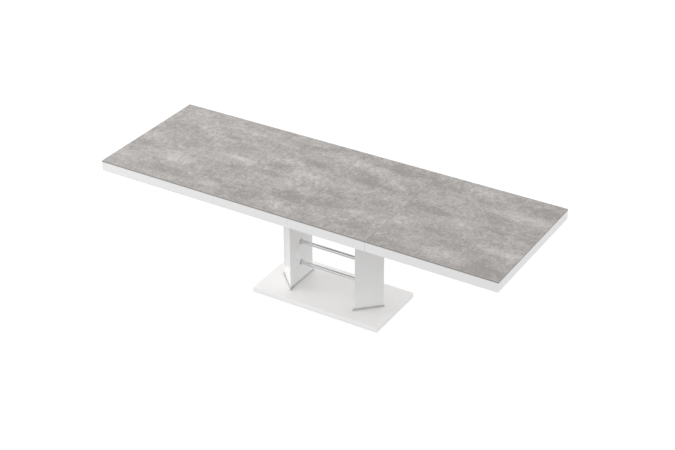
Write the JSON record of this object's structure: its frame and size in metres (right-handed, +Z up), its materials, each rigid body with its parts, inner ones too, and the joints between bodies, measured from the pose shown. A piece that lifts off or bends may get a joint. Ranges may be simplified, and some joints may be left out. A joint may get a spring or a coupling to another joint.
{
  "type": "extendable dining table",
  "caption": "Long rectangular pedestal dining table with a concrete-look top that draws out for loose leaves, on two hollow three-sided columns joined by steel tubes.",
  "frame": {"origin": "on the floor under the middle of the extended top", "axes": "+X along the table's length to the right, +Y to the back, +Z up"},
  "size_m": [2.6, 0.89, 0.75],
  "materials": {
    "concrete_laminate": "matt concrete-look decor, cloudy grey",
    "white_lacquer": "white gloss lacquer on fibreboard",
    "white_base": "white gloss lacquer on fibreboard",
    "board_underside": "white melamine-faced board",
    "steel_foot": "satin steel",
    "brushed_tube": "fine brushed stainless",
    "runner_steel": "bright zinc plated sheet",
    "zinc_fastener": "zinc plated",
    "black_plate": "black powder coat",
    "felt_glide": "dense grey felt",
    "beech": "planed beech"
  },
  "bodies": {
    "base": {"back_beam": "beech", "base_plate": "white_base", "end_rails": "beech", "front_beam": "beech", "glides": "felt_glide", "left_back_panel": "white_lacquer", "left_column_blocks": "beech", "left_cross_rail": "beech", "left_fixed_runners": "runner_steel", "left_foot_trim": "steel_foot", "left_front_panel": "white_lacquer", "left_inner_panel": "white_lacquer", "left_top_plate": "black_plate", "lower_tube": "brushed_tube", "rail_dowels": "beech", "right_back_panel": "white_lacquer", "right_column_blocks": "beech", "right_cross_rail": "beech", "right_fixed_runners": "runner_steel", "right_foot_trim": "steel_foot", "right_front_panel": "white_lacquer", "right_inner_panel": "white_lacquer", "right_top_plate": "black_plate", "tie_nuts": "zinc_fastener", "tie_rods": "zinc_fastener", "tie_washers": "zinc_fastener", "tube_bolts": "zinc_fastener", "tube_rosettes": "brushed_tube", "upper_tube": "brushed_tube"},
    "left_half": {"left_half_back_apron": "white_lacquer", "left_half_batten_screws": "zinc_fastener", "left_half_battens": "beech", "left_half_carrier": "board_underside", "left_half_corner_blocks": "beech", "left_half_end_apron": "white_lacquer", "left_half_front_apron": "white_lacquer", "left_half_slab": "concrete_laminate", "left_inner_runners": "runner_steel"},
    "right_half": {"right_half_back_apron": "white_lacquer", "right_half_batten_screws": "zinc_fastener", "right_half_battens": "beech", "right_half_carrier": "board_underside", "right_half_corner_blocks": "beech", "right_half_end_apron": "white_lacquer", "right_half_front_apron": "white_lacquer", "right_half_slab": "concrete_laminate", "right_inner_runners": "runner_steel"},
    "left_runner_middles": {"left_middle_runners": "runner_steel"},
    "right_runner_middles": {"right_middle_runners": "runner_steel"},
    "left_leaf": {"left_leaf_back_apron": "white_lacquer", "left_leaf_carrier": "board_underside", "left_leaf_front_apron": "white_lacquer", "left_leaf_guides": "beech", "left_leaf_slab": "concrete_laminate"},
    "right_leaf": {"right_leaf_back_apron": "white_lacquer", "right_leaf_carrier": "board_underside", "right_leaf_front_apron": "white_lacquer", "right_leaf_guides": "beech", "right_leaf_slab": "concrete_laminate"}
  },
  "joints": [
    {"name": "left_half_slide", "type": "slide", "parent": "base", "child": "left_half", "axis": [-1, 0, 0], "range_m": [0, 0.07]},
    {"name": "right_half_slide", "type": "slide", "parent": "base", "child": "right_half", "axis": [1, 0, 0], "range_m": [0, 0.13]},
    {"name": "left_runner_slide", "type": "slide", "parent": "base", "child": "left_runner_middles", "axis": [-1, 0, 0], "range_m": [0, 0.035]},
    {"name": "right_runner_slide", "type": "slide", "parent": "base", "child": "right_runner_middles", "axis": [1, 0, 0], "range_m": [0, 0.065]},
    {"name": "left_leaf_lift", "type": "slide", "parent": "base", "child": "left_leaf", "axis": [0, 0, 1], "range_m": [0, 0.35]},
    {"name": "right_leaf_lift", "type": "slide", "parent": "base", "child": "right_leaf", "axis": [0, 0, 1], "range_m": [0, 0.35]}
  ],
  "couplings": [
    {"joint": "left_runner_slide", "follows": "left_half_slide", "ratio": 0.5},
    {"joint": "right_runner_slide", "follows": "right_half_slide", "ratio": 0.5}
  ]
}
